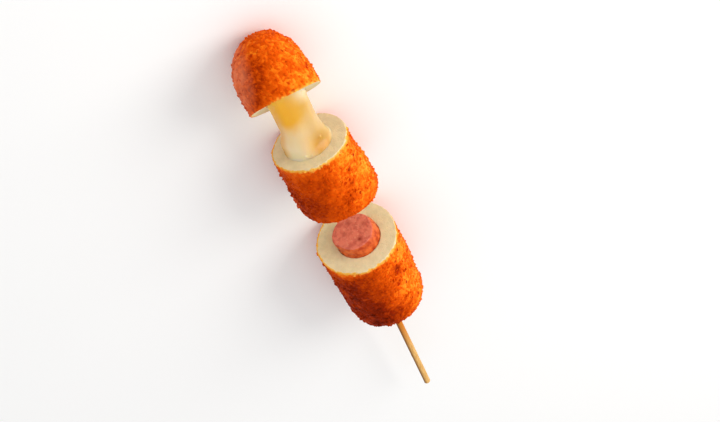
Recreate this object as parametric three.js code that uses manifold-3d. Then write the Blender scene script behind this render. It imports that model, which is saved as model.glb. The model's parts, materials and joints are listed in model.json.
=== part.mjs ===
// A panko corn dog on a bamboo stick, cut across in two places and laid out in line on its side.
//
// The rounded tip has been pulled away from the middle length, with the cheese core stretched between
// them. The lowest length stands apart on the stick, with the sausage a little proud of its cut.
//
// Units are millimetres. +Z is up, the pieces lie on z = 0, and +X runs from the stick to the tip.
// Each piece is turned on a lathe along its own axis, made a little uneven, then put in its place.

import * as THREE from 'three';
import { mergeVertices } from 'three/addons/utils/BufferGeometryUtils.js';
import Module from 'manifold-3d';

const wasm = await Module();
wasm.setup();

// ---------------------------------------------------------------- driving dimensions

const GAP = 0.3; // left all round between two pieces that touch
const FLAT_DEPTH = 0.5; // how deep the surface it lies on flattens each round length
const SIDES = 48; // facets round a length of dough

const MIDDLE_RADIUS = 23.7;
const MIDDLE_LENGTH = 46.2;
const MIDDLE_SWELL = 0.8; // how far its belly swells all round
const MIDDLE_SPREAD = 2.8; // how far its right side spreads towards its back cut
const SPREAD_START = 0.3; // share of its length where that begins
const MIDDLE_LEAN = 2.5; // degrees, its back cut is turned by this much, longer on the right
const MIDDLE_YAW = 1.8; // degrees, its back end points to the right by this much
const MIDDLE_SIDE = -0.3; // sideways place of its front cut

const BOTTOM_RADIUS = 25.8;
const BOTTOM_LENGTH = 70.0;
const BOTTOM_PITCH = 1.8; // degrees, its axis falls by this much towards the stick
const BOTTOM_YAW = 2.0; // degrees, its stick end points to the right by this much
const BOTTOM_SIDE = -0.3; // sideways place of its cut
const BOTTOM_SLANT = 10.3; // degrees, its cut leans back by this much more
const BOTTOM_SPACING = 36.3; // from the middle length's back cut to its own cut
const BOTTOM_TAPER = 0.05; // share of the radius lost before its end rounds over
const BOTTOM_ROUNDING = 15.0; // length of the rounded end

const TIP_RADIUS = 22.4;
const TIP_LENGTH = 41.0;
const TIP_DOME = 31.0; // the domed share of that length
const TIP_BLUNTNESS = 2.15; // 2 is an ellipse, more is a fuller nose
const TIP_BOW = 1.7; // how far it bends to the left
const TIP_PITCH = -43.8; // degrees, its nose points down by this much
const TIP_CUT = { x: 43.7, y: 0.5, z: 33.3 }; // centre of its cut, from the middle length's front cut

const CORE_RADIUS = 14.4; // cheese inside the middle length
const CORE_OFFSET = 0.4; // sideways, its centre against the dough's
const TIP_CORE_RADIUS = 12.0; // cheese inside the tip
const TIP_CORE_DEPTH = 29.0;
const TIP_CORE_SIDE = -0.4; // sideways, its centre against the tip's
const STRAND_HALF_WIDTH = 11.2; // the stretched cheese where it is narrowest
const STRAND_FLATNESS = 0.94; // its thickness as a share of its width there
const STRAND_FLARE = 22.0; // length over which it spreads into the pool on the middle length
const STRAND_TIP_FLARE = 6.0; // the same at the tip
const STRAND_SAG = { share: 0.13, at: 9, reach: 7 }; // its left side is wider by this share round there

const SAUSAGE_RADIUS = 13.9;
const SAUSAGE_FACE_RADIUS = 12.3; // its cut, squeezed a little narrower
const SAUSAGE_PROUD = 7.4; // how far it stands out of the dough
const SAUSAGE_DEPTH = 54.0; // how far it goes in
const SAUSAGE_ROUNDING = 5.0; // its closed end
const SAUSAGE_SLANT = 8.0; // degrees, its cut against its axis
const SAUSAGE_LEAN = 1.5; // how far its cut is shifted to the left, where it stands out
const SAUSAGE_OFFSET = { y: -1.2, z: 1.3 }; // its centre on the cut against the dough's

const STICK_RADIUS = 2.1;
const STICK_OUT = 82.0; // what shows of it
const STICK_COVER = 10.0; // sausage left in front of its hidden end
const STICK_DRIFT = 5.0; // sideways, how far its free end is from the dough's axis
const STICK_BEVEL = 0.4;

const BOW_LAG = 1.5; // above 1, a length is fattest nearer its far end than its cut

const LUMPS = [ // slow swellings of the dough, in radians round it and per mm along it
  { around: 3, along: 0.07, phase: 0.5, height: 0.18 },
  { around: 5, along: -0.13, phase: 2.2, height: 0.15 },
  { around: 7, along: 0.21, phase: 4.0, height: 0.1 },
];

// ---------------------------------------------------------------- worked out from them

const radians = THREE.MathUtils.degToRad;
const middleCut = { x: 0, y: MIDDLE_SIDE, z: MIDDLE_RADIUS - FLAT_DEPTH };
const bottomCut = { x: -MIDDLE_LENGTH - BOTTOM_SPACING, y: BOTTOM_SIDE, z: BOTTOM_RADIUS - FLAT_DEPTH };
const coreLine = BOTTOM_LENGTH + STICK_OUT; // from the lowest length's cut to the end of the stick

const COLOURS = {
  crust: { color: 0xd65a12, roughness: 0.75, metalness: 0 },
  cheese: { color: 0xf0c060, roughness: 0.35, metalness: 0 },
  sausage: { color: 0xd9705a, roughness: 0.45, metalness: 0 },
  bamboo: { color: 0xe0b070, roughness: 0.6, metalness: 0 },
};

// ---------------------------------------------------------------- outlines

// Points of an outline are (radius, distance along the axis), with 0 at the cut and less behind it.
function point(radius, along) {
  return new THREE.Vector2(radius, along);
}

// Evenly spaced steps from one value to another, both included.
function steps(from, to, count) {
  const values = [];
  for (let i = 0; i <= count; i += 1) values.push(from + ((to - from) * i) / count);
  return values;
}

// A quarter round that starts at the outer radius and closes towards the inner one.
function quarterRound(outer, inner, start, depth, count, bluntness = 2) {
  const points = [];
  for (const turn of steps(0, Math.PI / 2, count)) {
    const across = Math.cos(turn) ** (2 / bluntness);
    const forward = Math.sin(turn) ** (2 / bluntness);
    points.push(point(inner + (outer - inner) * across, start + depth * forward));
  }
  return points;
}

function middleOutline() {
  const bore = CORE_RADIUS + GAP;
  const wall = steps(-MIDDLE_LENGTH, 0, 9).map((along) => point(MIDDLE_RADIUS, along));
  return [point(bore, -MIDDLE_LENGTH), ...wall, point(bore, 0), point(bore, -MIDDLE_LENGTH)];
}

function bottomOutline() {
  const sausageBore = SAUSAGE_RADIUS + GAP;
  const stickBore = STICK_RADIUS + GAP;
  const shoulder = BOTTOM_ROUNDING - BOTTOM_LENGTH;
  const endRadius = BOTTOM_RADIUS * (1 - BOTTOM_TAPER);
  const rounding = quarterRound(endRadius, stickBore, shoulder, -BOTTOM_ROUNDING, 8, 2.2);
  const wall = steps(0, 1, 9).slice(1).map((share) => point(
    BOTTOM_RADIUS * (1 - BOTTOM_TAPER * share ** 2),
    shoulder * share,
  ));
  const boreEnd = quarterRound(
    sausageBore, sausageBore - SAUSAGE_ROUNDING, SAUSAGE_ROUNDING - SAUSAGE_DEPTH - GAP,
    -SAUSAGE_ROUNDING, 3,
  );
  return [
    ...rounding.reverse(),
    ...wall.reverse().slice(1),
    point(BOTTOM_RADIUS, 0),
    point(sausageBore, 0),
    ...boreEnd,
    point(stickBore, -SAUSAGE_DEPTH - GAP),
    point(stickBore, -BOTTOM_LENGTH),
  ];
}

function tipOutline() {
  const bore = TIP_CORE_RADIUS + GAP;
  const straight = TIP_LENGTH - TIP_DOME;
  const dome = quarterRound(TIP_RADIUS, 0, straight, TIP_DOME, 12, TIP_BLUNTNESS);
  const boreEnd = quarterRound(bore, bore / 2, TIP_CORE_DEPTH + GAP - bore / 2, bore / 2, 3);
  return [
    point(0, TIP_CORE_DEPTH + GAP),
    ...boreEnd.reverse(),
    point(bore, 0),
    point(TIP_RADIUS, 0),
    point(TIP_RADIUS, straight / 2),
    ...dome,
  ];
}

function sausageOutline() {
  const bore = STICK_RADIUS + GAP;
  const end = quarterRound(
    SAUSAGE_RADIUS, SAUSAGE_RADIUS - SAUSAGE_ROUNDING, SAUSAGE_ROUNDING - SAUSAGE_DEPTH,
    -SAUSAGE_ROUNDING, 4,
  );
  return [
    point(0, GAP - STICK_COVER),
    point(bore, GAP - STICK_COVER),
    point(bore, -SAUSAGE_DEPTH),
    ...end.reverse(),
    point(SAUSAGE_RADIUS, 0),
    ...quarterRound(SAUSAGE_RADIUS, SAUSAGE_FACE_RADIUS, SAUSAGE_PROUD / 3, SAUSAGE_PROUD / 1.5, 4),
    point(0, SAUSAGE_PROUD),
  ];
}

function stickOutline() {
  return [
    point(0, -coreLine),
    point(STICK_RADIUS - STICK_BEVEL, -coreLine),
    point(STICK_RADIUS, STICK_BEVEL - coreLine),
    point(STICK_RADIUS, -STICK_COVER - STICK_BEVEL),
    point(STICK_RADIUS - STICK_BEVEL, -STICK_COVER),
    point(0, -STICK_COVER),
  ];
}

// The cheese is first turned straight: the core of the middle length, the strand, the core of the tip.
const strandLength = Math.hypot(TIP_CUT.x, TIP_CUT.z - middleCut.z);

function cheeseRadius(along) {
  if (along <= 0) return CORE_RADIUS;
  if (along >= strandLength) return TIP_CORE_RADIUS;
  const pool = 1 - THREE.MathUtils.smoothstep(along, 0, STRAND_FLARE);
  const top = THREE.MathUtils.smoothstep(along, strandLength - STRAND_TIP_FLARE, strandLength);
  const spread = pool * (CORE_RADIUS - STRAND_HALF_WIDTH) + top * (TIP_CORE_RADIUS - STRAND_HALF_WIDTH);
  return STRAND_HALF_WIDTH + spread;
}

function cheeseOutline() {
  const core = steps(-MIDDLE_LENGTH, 0, 4).map((along) => point(cheeseRadius(along), along));
  const strand = steps(0, strandLength, 20).slice(1).map((along) => point(cheeseRadius(along), along));
  const roundingStart = strandLength + TIP_CORE_DEPTH - TIP_CORE_RADIUS / 2;
  const end = quarterRound(TIP_CORE_RADIUS, TIP_CORE_RADIUS / 2, roundingStart, TIP_CORE_RADIUS / 2, 3);
  const finish = point(0, strandLength + TIP_CORE_DEPTH);
  return [point(0, -MIDDLE_LENGTH), ...core, ...strand, ...end, finish];
}

// ---------------------------------------------------------------- from outline to solid

// Turns an outline about +X. In the result x is the distance along the axis.
function turned(outline, sides) {
  const geometry = new THREE.LatheGeometry(outline, sides);
  geometry.rotateZ(-Math.PI / 2);
  geometry.deleteAttribute('normal');
  geometry.deleteAttribute('uv');
  return mergeVertices(geometry, 1e-3);
}

// Moves every vertex of a turned geometry with a function of its place.
function reshape(geometry, move) {
  const places = geometry.attributes.position;
  const place = new THREE.Vector3();
  for (let i = 0; i < places.count; i += 1) {
    place.fromBufferAttribute(places, i);
    move(place);
    places.setXYZ(i, place.x, place.y, place.z);
  }
  return geometry;
}

// Swells the outside of a turned length by a height that depends on the place.
function swell(place, threshold, height) {
  const radius = Math.hypot(place.y, place.z);
  if (radius < threshold) return;
  const factor = (radius + height(Math.atan2(place.z, place.y), place.x)) / radius;
  place.y *= factor;
  place.z *= factor;
}

// Rises from 0 at a cut to 1 past halfway, and back to 0 at the far end.
function bow(share) {
  return Math.sin(Math.PI * Math.min(1, Math.max(0, share)) ** BOW_LAG);
}

function lumps(angle, along) {
  let height = 0;
  for (const lump of LUMPS) {
    height += lump.height * Math.sin(lump.around * angle + lump.along * along + lump.phase);
  }
  return height;
}

function toSolid(geometry) {
  const corners = geometry.index.array;
  const kept = [];
  for (let i = 0; i < corners.length; i += 3) {
    const [a, b, c] = [corners[i], corners[i + 1], corners[i + 2]];
    if (a !== b && b !== c && c !== a) kept.push(a, b, c);
  }
  return new wasm.Manifold(new wasm.Mesh({
    numProp: 3,
    vertProperties: Float32Array.from(geometry.attributes.position.array),
    triVerts: Uint32Array.from(kept),
  }));
}

function toGeometry(solid) {
  const mesh = solid.getMesh();
  const geometry = new THREE.BufferGeometry();
  geometry.setAttribute('position', new THREE.BufferAttribute(Float32Array.from(mesh.vertProperties), 3));
  geometry.setIndex(new THREE.BufferAttribute(Uint32Array.from(mesh.triVerts), 1));
  geometry.computeVertexNormals();
  return geometry;
}

// Cuts a placed solid level with the surface that it lies on.
function laidDown(geometry) {
  const below = new THREE.BoxGeometry(400, 200, 60);
  below.translate(0, 0, -30);
  below.deleteAttribute('normal');
  below.deleteAttribute('uv');
  return toGeometry(toSolid(geometry).subtract(toSolid(mergeVertices(below))));
}

// Tilts a geometry nose up by a pitch, swings it about +Z by a yaw, both in degrees, then moves it.
function placed(geometry, pitch, yaw, place) {
  geometry.rotateY(-radians(pitch));
  geometry.rotateZ(radians(yaw));
  geometry.translate(place.x, place.y, place.z);
  return geometry;
}

function piece(name, geometry, colour) {
  const mesh = new THREE.Mesh(geometry, new THREE.MeshStandardMaterial(colour));
  mesh.name = name;
  return mesh;
}

// ---------------------------------------------------------------- the pieces

function middleDough() {
  const lean = Math.tan(radians(MIDDLE_LEAN));
  const geometry = reshape(turned(middleOutline(), SIDES), (place) => {
    const share = -place.x / MIDDLE_LENGTH;
    const outside = Math.hypot(place.y, place.z) > CORE_RADIUS + 2 * GAP;
    if (!outside) place.y += CORE_OFFSET;
    swell(place, MIDDLE_RADIUS - 1, (angle, along) => {
      const right = Math.max(0, -Math.cos(angle)) * THREE.MathUtils.smoothstep(share, SPREAD_START, 1);
      return MIDDLE_SWELL * bow(share) + MIDDLE_SPREAD * right + lumps(angle, along);
    });
    if (outside) place.x += lean * place.y * THREE.MathUtils.smoothstep(share, 0.5, 1);
  });
  return piece('middle_dough', laidDown(placed(geometry, 0, MIDDLE_YAW, middleCut)), COLOURS.crust);
}

// Moves a place with the sausage and the stick, which run through the dough at a slight angle.
function shiftWithCore(place) {
  const share = -place.x / coreLine;
  place.y += SAUSAGE_OFFSET.y * (1 - share) + STICK_DRIFT * share;
  place.z += SAUSAGE_OFFSET.z * (1 - share);
}

function placedOnBottom(geometry) {
  return placed(geometry, BOTTOM_PITCH, BOTTOM_YAW, bottomCut);
}

function bottomDough() {
  const lean = Math.tan(radians(BOTTOM_SLANT));
  const geometry = reshape(turned(bottomOutline(), SIDES), (place) => {
    const radius = Math.hypot(place.y, place.z);
    const inBore = radius < SAUSAGE_RADIUS + 2 * GAP && place.x > -SAUSAGE_DEPTH - 2 * GAP;
    const inHole = radius < STICK_RADIUS + 2 * GAP;
    if (inBore || inHole) shiftWithCore(place);
    else swell(place, SAUSAGE_RADIUS + 2 * GAP, lumps);
    place.x -= place.z * lean * THREE.MathUtils.smoothstep(place.x, -BOTTOM_LENGTH / 2, 0);
  });
  return piece('bottom_dough', laidDown(placedOnBottom(geometry)), COLOURS.crust);
}

function tipDough() {
  const geometry = reshape(turned(tipOutline(), SIDES), (place) => {
    const nose = 1 - THREE.MathUtils.smoothstep(place.x, TIP_LENGTH * 0.6, TIP_LENGTH);
    const outside = Math.hypot(place.y, place.z) > TIP_CORE_RADIUS + 2 * GAP || place.x > TIP_CORE_DEPTH + 1;
    if (!outside) {
      place.y += TIP_CORE_SIDE;
      return;
    }
    swell(place, TIP_CORE_RADIUS + 2 * GAP, (angle, along) => lumps(angle, along) * nose);
    place.y += TIP_BOW * bow(place.x / TIP_LENGTH);
  });
  return piece('tip_dough', laidDown(placed(geometry, TIP_PITCH, 0, TIP_CUT)), COLOURS.crust);
}

// Bends the straight cheese: level in the middle length, then tilting on its way to the tip's cut.
function bendCheese(place) {
  const share = THREE.MathUtils.clamp(place.x / strandLength, 0, 1);
  const tilt = radians(TIP_PITCH) * THREE.MathUtils.smoothstep(share, 0, 1);
  const yaw = radians(MIDDLE_YAW) * (1 - share);
  const thin = 1 - (1 - STRAND_FLATNESS) * Math.sin(Math.PI * share) ** 2;
  const sag = Math.exp(-(((place.x - STRAND_SAG.at) / STRAND_SAG.reach) ** 2));
  const inStrand = share > 0 && share < 1;
  const width = inStrand && place.y > 0 ? 1 + STRAND_SAG.share * sag : 1;
  const side = place.y * width + CORE_OFFSET * (1 - share) + TIP_CORE_SIDE * share;
  const core = new THREE.Vector3(Math.min(0, place.x), side, place.z * thin);
  core.x += Math.max(0, place.x - strandLength);
  core.applyAxisAngle(new THREE.Vector3(0, 1, 0), -tilt);
  core.applyAxisAngle(new THREE.Vector3(0, 0, 1), yaw);
  place.lerpVectors(new THREE.Vector3().copy(middleCut), new THREE.Vector3().copy(TIP_CUT), share).add(core);
}

function cheese() {
  const geometry = reshape(turned(cheeseOutline(), 36), bendCheese);
  return piece('cheese', toGeometry(toSolid(geometry)), COLOURS.cheese);
}

function sausage() {
  const lean = Math.tan(radians(SAUSAGE_SLANT));
  const geometry = reshape(turned(sausageOutline(), 36), (place) => {
    const nearCut = THREE.MathUtils.smoothstep(place.x, -STICK_COVER, SAUSAGE_PROUD - 1);
    const proud = THREE.MathUtils.smoothstep(place.x, 1, SAUSAGE_PROUD);
    shiftWithCore(place);
    place.y += SAUSAGE_LEAN * proud;
    place.x -= place.z * lean * nearCut;
  });
  return piece('sausage', toGeometry(toSolid(placedOnBottom(geometry))), COLOURS.sausage);
}

function stick() {
  const geometry = reshape(turned(stickOutline(), 16), shiftWithCore);
  return piece('stick', toGeometry(toSolid(placedOnBottom(geometry))), COLOURS.bamboo);
}

// ---------------------------------------------------------------- the whole

const cornDog = new THREE.Group();
cornDog.add(middleDough(), bottomDough(), tipDough(), cheese(), sausage(), stick());

// The origin goes under the middle of the whole, on the surface that it lies on.
const extent = new THREE.Box3().setFromObject(cornDog);
const middle = extent.getCenter(new THREE.Vector3());
cornDog.position.set(-middle.x, -middle.y, -extent.min.z);

export default cornDog;
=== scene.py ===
# %% [markdown]
# # A panko corn dog, cut in three
#
# This lesson builds a fried corn dog that has been cut across in two places. The rounded tip is
# pulled away on a strand of melted cheese, the middle length is a ring of bread round its cheese
# core, and the lowest length sits on its bamboo stick with the sausage standing out of the cut.
#
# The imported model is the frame: it says where each piece lies and how big it is. Every piece is
# modelled in its own straight frame first, along +X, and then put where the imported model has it.

# %% Load the frame
import json
import math

import bmesh
import bpy
import numpy as np
from mathutils import Matrix, Vector, noise

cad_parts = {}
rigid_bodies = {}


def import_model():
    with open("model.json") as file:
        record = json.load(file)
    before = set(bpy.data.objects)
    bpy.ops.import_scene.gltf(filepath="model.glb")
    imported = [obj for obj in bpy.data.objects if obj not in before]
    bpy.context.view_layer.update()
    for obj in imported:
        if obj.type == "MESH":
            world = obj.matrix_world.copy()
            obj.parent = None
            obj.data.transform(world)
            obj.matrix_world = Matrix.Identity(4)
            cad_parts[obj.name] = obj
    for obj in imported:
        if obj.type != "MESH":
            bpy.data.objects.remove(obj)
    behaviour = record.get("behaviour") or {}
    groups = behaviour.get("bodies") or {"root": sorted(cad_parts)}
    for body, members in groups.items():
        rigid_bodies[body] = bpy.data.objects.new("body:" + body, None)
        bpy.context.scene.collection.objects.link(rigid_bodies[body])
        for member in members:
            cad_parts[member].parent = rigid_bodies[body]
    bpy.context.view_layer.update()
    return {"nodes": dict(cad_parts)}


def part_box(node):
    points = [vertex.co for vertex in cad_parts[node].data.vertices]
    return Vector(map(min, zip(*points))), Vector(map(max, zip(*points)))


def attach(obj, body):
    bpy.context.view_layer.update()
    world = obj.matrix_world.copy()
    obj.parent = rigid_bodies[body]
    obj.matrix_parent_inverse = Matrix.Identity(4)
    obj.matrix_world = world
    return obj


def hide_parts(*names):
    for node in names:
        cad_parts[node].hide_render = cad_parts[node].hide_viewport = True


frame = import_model()
mm = 0.001
print("nodes:", ", ".join(sorted(frame["nodes"])))

# %% [markdown]
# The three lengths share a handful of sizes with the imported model. They are written once here, in
# metres, and every outline below is worked out from them. The bread is modelled a little inside
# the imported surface, because the crumbs stand out of it.

# %% Sizes of the food
FLAT_DEPTH = 0.5 * mm
CRUMB_ROOM = 0.25 * mm

MIDDLE_RADIUS = 23.7 * mm
MIDDLE_LENGTH = 46.2 * mm
BOTTOM_RADIUS = 25.8 * mm
BOTTOM_LENGTH = 70.0 * mm
TIP_RADIUS = 22.4 * mm
TIP_LENGTH = 41.0 * mm
TIP_DOME = 31.0 * mm

CORE_RADIUS = 14.4 * mm
TIP_CORE_RADIUS = 12.0 * mm
TIP_CORE_DEPTH = 29.0 * mm
SAUSAGE_RADIUS = 13.9 * mm
SAUSAGE_DEPTH = 54.0 * mm
STICK_RADIUS = 2.1 * mm
STICK_OUT = 82.0 * mm
GAP = 0.3 * mm
print("food without the pull, mm:", round((TIP_LENGTH + MIDDLE_LENGTH + BOTTOM_LENGTH) / mm, 1))

# %% [markdown]
# Nobody lays food down quite straight. Each length is placed by the middle of its cut, and swung or
# tilted by a degree or two. The tip is different: it stands on its dome with its nose well down, and
# the cheese rises to it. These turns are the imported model's own, so the looks land on its solids.

# %% Where the lengths lie, from the front cut of the middle length
BOTTOM_AWAY = 36.3 * mm
MIDDLE_CUT = Vector((0, -0.3 * mm, MIDDLE_RADIUS - FLAT_DEPTH))
MIDDLE_YAW = math.radians(1.8)
BOTTOM_CUT = Vector((-MIDDLE_LENGTH - BOTTOM_AWAY, -0.3 * mm, BOTTOM_RADIUS - FLAT_DEPTH))
BOTTOM_PITCH = math.radians(1.8)
BOTTOM_YAW = math.radians(2.0)
BOTTOM_SLANT = math.radians(10.3)
TIP_CUT = Vector((43.7 * mm, 0.5 * mm, 33.3 * mm))
TIP_PITCH = math.radians(-43.8)
print("the cheese rises by, mm:", round((TIP_CUT.z - MIDDLE_CUT.z) / mm, 1))

# %% [markdown]
# A lathe suits all of it: dough, cheese, sausage and stick are all round things with an axis. Blender
# has a Screw modifier and a Spin tool for this, but a lathe of our own keeps track of which point
# of the outline every vertex came from, and that lets us store things like "how deep under the
# crust is this" on the mesh. Rings whose radius is nothing become one pole.

# %% A lathe
NOTHING = 1e-9


def turned(outline, sides, closed=False):
    """Turns rows of (radius, along) about +X. Returns places, faces and the row of each vertex."""
    angles = np.arange(sides) * math.tau / sides
    places, rows, rings = [], [], []
    for row, (radius, along) in enumerate(outline):
        count = 1 if radius < NOTHING else sides
        start = len(rows)
        for angle in angles[:count]:
            places.append((along, radius * math.cos(angle), radius * math.sin(angle)))
            rows.append(row)
        rings.append([start] * sides if count == 1 else list(range(start, start + sides)))
    if closed:
        rings.append(rings[0])
    faces = []
    for near, far in zip(rings, rings[1:]):
        for side in range(sides):
            after = (side + 1) % sides
            corners = [near[side], near[after], far[after], far[side]]
            faces.append(list(dict.fromkeys(corners)))
    return np.array(places), faces, np.array(rows)


def polar(places):
    """The angle of each place round +X, from +Y towards +Z, and its distance from +X."""
    angle = np.arctan2(places[:, 2], places[:, 1])
    return angle, np.maximum(np.hypot(places[:, 1], places[:, 2]), NOTHING)


def swollen(places, height):
    """Pushes each place away from +X by its own height."""
    shaped = places.copy()
    shaped[:, 1:] *= (1 + height / polar(places)[1])[:, None]
    return shaped


# %% [markdown]
# An outline is a short list of corners and arcs. Walking it in even steps gives the lathe enough rows
# for fine relief, and the rounded ends are quarters of a superellipse, which is a circle with a
# bluntness: 2 is a true round, and more is squarer, like the end of a fried roll.


# %% Outlines, objects and numbers on vertices
def resampled(points, spacing):
    """Walks a polyline of (radius, along) in even steps."""
    points = np.array(points, dtype=float)
    lengths = np.hypot(*np.diff(points, axis=0).T)
    walked = np.concatenate([[0], np.cumsum(lengths)])
    steps = np.linspace(0, walked[-1], max(2, round(walked[-1] / spacing) + 1))
    return np.stack([np.interp(steps, walked, points[:, axis]) for axis in (0, 1)], axis=1)


def quarter_round(outer, inner, start, depth, bluntness=2.0, count=48):
    """A quarter of a round that leaves the outer radius and closes on the inner one."""
    turn = np.linspace(0, math.pi / 2, count)
    across = np.cos(turn).clip(0, 1) ** (2 / bluntness)
    forward = np.sin(turn).clip(0, 1) ** (2 / bluntness)
    return list(zip(inner + (outer - inner) * across, start + depth * forward))


def add_object(name, places, faces):
    """Makes a smooth mesh whose faces point outwards, and prints its volume."""
    mesh = bpy.data.meshes.new(name)
    mesh.from_pydata(places.tolist(), [], faces)
    mesh.polygons.foreach_set("use_smooth", [True] * len(mesh.polygons))
    form = bmesh.new()
    form.from_mesh(mesh)
    volume = form.calc_volume(signed=True)
    form.free()
    if volume < 0:
        mesh.flip_normals()
    mesh.update()
    thing = bpy.data.objects.new(name, mesh)
    bpy.context.collection.objects.link(thing)
    print(f"{name}: {len(places)} vertices, {abs(volume) * 1e6:.1f} cubic centimetres")
    return thing


def store(thing, name, values):
    """Keeps one number for each vertex, which a material can read by its name."""
    layer = thing.data.attributes.new(name, "FLOAT", "POINT")
    layer.data.foreach_set("value", np.asarray(values, dtype=np.float32))


# %% [markdown]
# Nothing fried is perfectly round. Slow waves round and along each length give the dough its
# uneven body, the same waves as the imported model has, so the looks stay on the collision shape.

# %% Slow swellings of the dough
LUMPS = (
    # turns round it, radians per metre along it, phase, height
    (3, 70, 0.5, 0.18 * mm),
    (5, -130, 2.2, 0.15 * mm),
    (7, 210, 4.0, 0.1 * mm),
)


def lumps(angle, along):
    height = 0
    for turns, rate, phase, rise in LUMPS:
        height = height + rise * np.sin(turns * angle + rate * along + phase)
    return height


def bow(share):
    """Rises from 0 at a cut to 1 past halfway, and back to 0 at the far end."""
    return np.sin(math.pi * np.clip(share, 0, 1) ** 1.5)


def smoothstep(value, low, high):
    """0 up to low, 1 from high on, and a smooth rise between."""
    share = np.clip((value - low) / (high - low), 0, 1)
    return share * share * (3 - 2 * share)


def hill(value, middle, reach):
    """1 in the middle, falling smoothly on both sides."""
    return np.exp(-(((value - middle) / reach) ** 2))


def outward(radius, bore, skin):
    """0 at the bore of a length, and rising evenly to 1 at its skin."""
    return np.clip((radius - bore) / (skin - bore), 0, 1)


def placed(places, pitch, yaw, cut):
    """Tilts places nose up, swings them about +Z, then moves them to their cut."""
    turn = Matrix.Rotation(yaw, 3, "Z") @ Matrix.Rotation(-pitch, 3, "Y")
    return places @ np.array(turn).T + np.array(cut)


# %% [markdown]
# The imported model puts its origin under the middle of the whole, so the places above still need one
# shift. The back end of the cheese is a plain disc, which makes it easy to find in both: its lowest
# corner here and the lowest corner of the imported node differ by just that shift.

# %% Find the shift to the frame
CORE_SIDE = 0.4 * mm

turns = np.linspace(0, math.tau, 360)
disc = np.stack(
    [
        np.full_like(turns, -MIDDLE_LENGTH),
        CORE_SIDE + CORE_RADIUS * np.cos(turns),
        CORE_RADIUS * np.sin(turns),
    ],
    axis=1,
)
disc_low = placed(disc, 0, MIDDLE_YAW, MIDDLE_CUT).min(axis=0)
cheese_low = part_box("cheese")[0]
to_frame = Vector((cheese_low[0] - disc_low[0], cheese_low[1] - disc_low[1], 0))
for cut in (MIDDLE_CUT, BOTTOM_CUT, TIP_CUT):
    cut += to_frame
print("shift to the frame, mm:", [round(value / mm, 2) for value in to_frame])

# %% [markdown]
# The crust is where breadcrumbs have fused in hot oil. Up close it is grains about a millimetre and
# a half across, packed against each other, on top of broader clumps. Voronoi noise gives the grains,
# because its cells are rounded and meet in creases, and ordinary noise gives the clumps. The cut
# bread is smoother, with small pores wherever its noise rises above a level.

# %% Relief of the fried crust and of the cut bread
GRAIN = 1.6 * mm
GRAIN_RISE = 0.7 * mm
CLUMP = 6.0 * mm
CLUMP_RISE = 0.3 * mm
GRIT = GRAIN / 3
GRIT_RISE = 0.12 * mm
PORE = 0.9 * mm
PORE_LEVEL = 0.25
PORE_DEPTH = 0.45 * mm
BREAD_RISE = 0.18 * mm


def sampled(places, scale, offset, measure=noise.noise):
    """A noise at each place, with features of about that size."""
    shift = Vector(offset)
    return np.array([measure(Vector(place) / scale + shift) for place in places])


def crust_relief(places, offset):
    grains = 0.5 - sampled(places, GRAIN, offset, lambda p: noise.voronoi(p)[0][0])
    clumps = sampled(places, CLUMP, offset)
    grit = sampled(places, GRIT, offset)
    return grains * GRAIN_RISE + clumps * CLUMP_RISE + grit * GRIT_RISE


def grain_tone(places, offset):
    """A random number for each grain, the same all over it."""
    return sampled(places, GRAIN, offset, lambda p: noise.cell(noise.voronoi(p)[1][0] * 37))


def bread_relief(places, offset):
    pores = sampled(places, PORE, offset)
    broad = sampled(places, CLUMP, offset)
    return broad * BREAD_RISE - np.maximum(pores - PORE_LEVEL, 0) * PORE_DEPTH
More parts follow.
